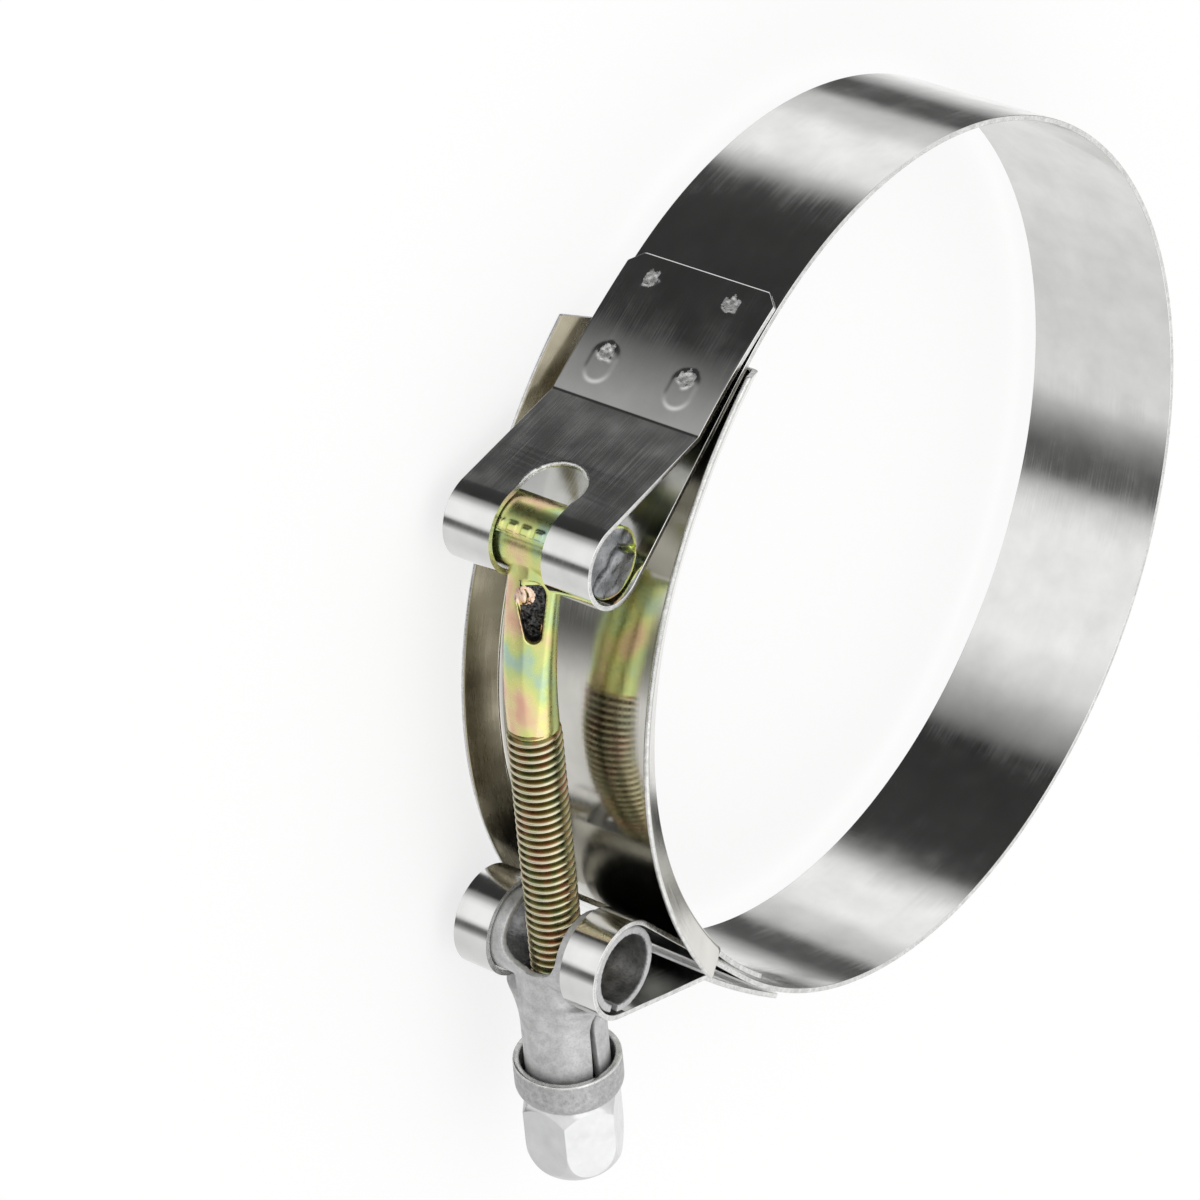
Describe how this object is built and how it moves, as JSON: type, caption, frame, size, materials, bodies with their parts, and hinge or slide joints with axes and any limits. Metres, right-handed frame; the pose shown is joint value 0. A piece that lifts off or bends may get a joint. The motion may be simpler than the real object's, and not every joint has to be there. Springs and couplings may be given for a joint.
{
  "type": "t bolt clamp",
  "caption": "Heavy-duty hose clamp: a flat stainless band with a bridge plate inside its gap, drawn shut by a T-headed bolt, a trunnion, a cup washer and a lock nut.",
  "frame": {"origin": "middle of the bounding box, on the surface the clamp lies on", "axes": "+Z along the ring's axis, +Y from the lugs across the ring, +X along the bolt from its head towards the nut"},
  "size_m": [0.1052, 0.1112, 0.0249],
  "materials": {
    "polished_stainless": "bright rolled strip, nearly mirror smooth",
    "rolled_stainless": "bright rolled strip with speckled sheared edges",
    "yellow_zinc": "yellow passivated zinc plate with rainbow tints",
    "satin_zinc": "satin zinc plate",
    "dull_zinc": "matte zinc plate",
    "bright_zinc": "bright zinc plate",
    "nylon": "plain nylon"
  },
  "bodies": {
    "root": {"band": "polished_stainless"},
    "lower_end": {"bridge_plate": "rolled_stainless"},
    "bolt": {"t_bolt": "yellow_zinc"},
    "trunnion": {"trunnion": "satin_zinc"},
    "cup": {"cup_washer": "dull_zinc"},
    "nut": {"lock_nut": "bright_zinc", "nylon_insert": "nylon"}
  },
  "joints": [
    {"name": "band_closing", "type": "hinge", "parent": "root", "child": "lower_end", "pos_m": [-0.00202, 0.00502, 0.01243], "axis": [0, 0, -1], "range_deg": [0, 25], "deforming": ["band"]},
    {"name": "bolt_pivot", "type": "hinge", "parent": "root", "child": "bolt", "pos_m": [-0.02662, -0.04997, 0.01243], "axis": [0, 0, -1], "range_deg": [0, 7.89]},
    {"name": "trunnion_pivot", "type": "hinge", "parent": "lower_end", "child": "trunnion", "pos_m": [0.02258, -0.04997, 0.01243], "axis": [0, 0, 1], "range_deg": [0, 17.11]},
    {"name": "nut_travel", "type": "slide", "parent": "bolt", "child": "cup", "axis": [-0.9958, -0.0915, 0], "range_m": [0, 0.025]},
    {"name": "nut_turn", "type": "hinge", "parent": "cup", "child": "nut", "pos_m": [0.0424, -0.04815, 0.01243], "axis": [-0.9958, -0.0915, 0], "range_deg": [0, 9000]}
  ],
  "couplings": [
    {"joint": "band_closing", "follows": "nut_travel", "rad_per_m": 17.453},
    {"joint": "bolt_pivot", "follows": "nut_travel", "rad_per_m": 5.5048},
    {"joint": "trunnion_pivot", "follows": "nut_travel", "rad_per_m": 11.948},
    {"joint": "nut_turn", "follows": "nut_travel", "rad_per_m": 6283.2}
  ]
}
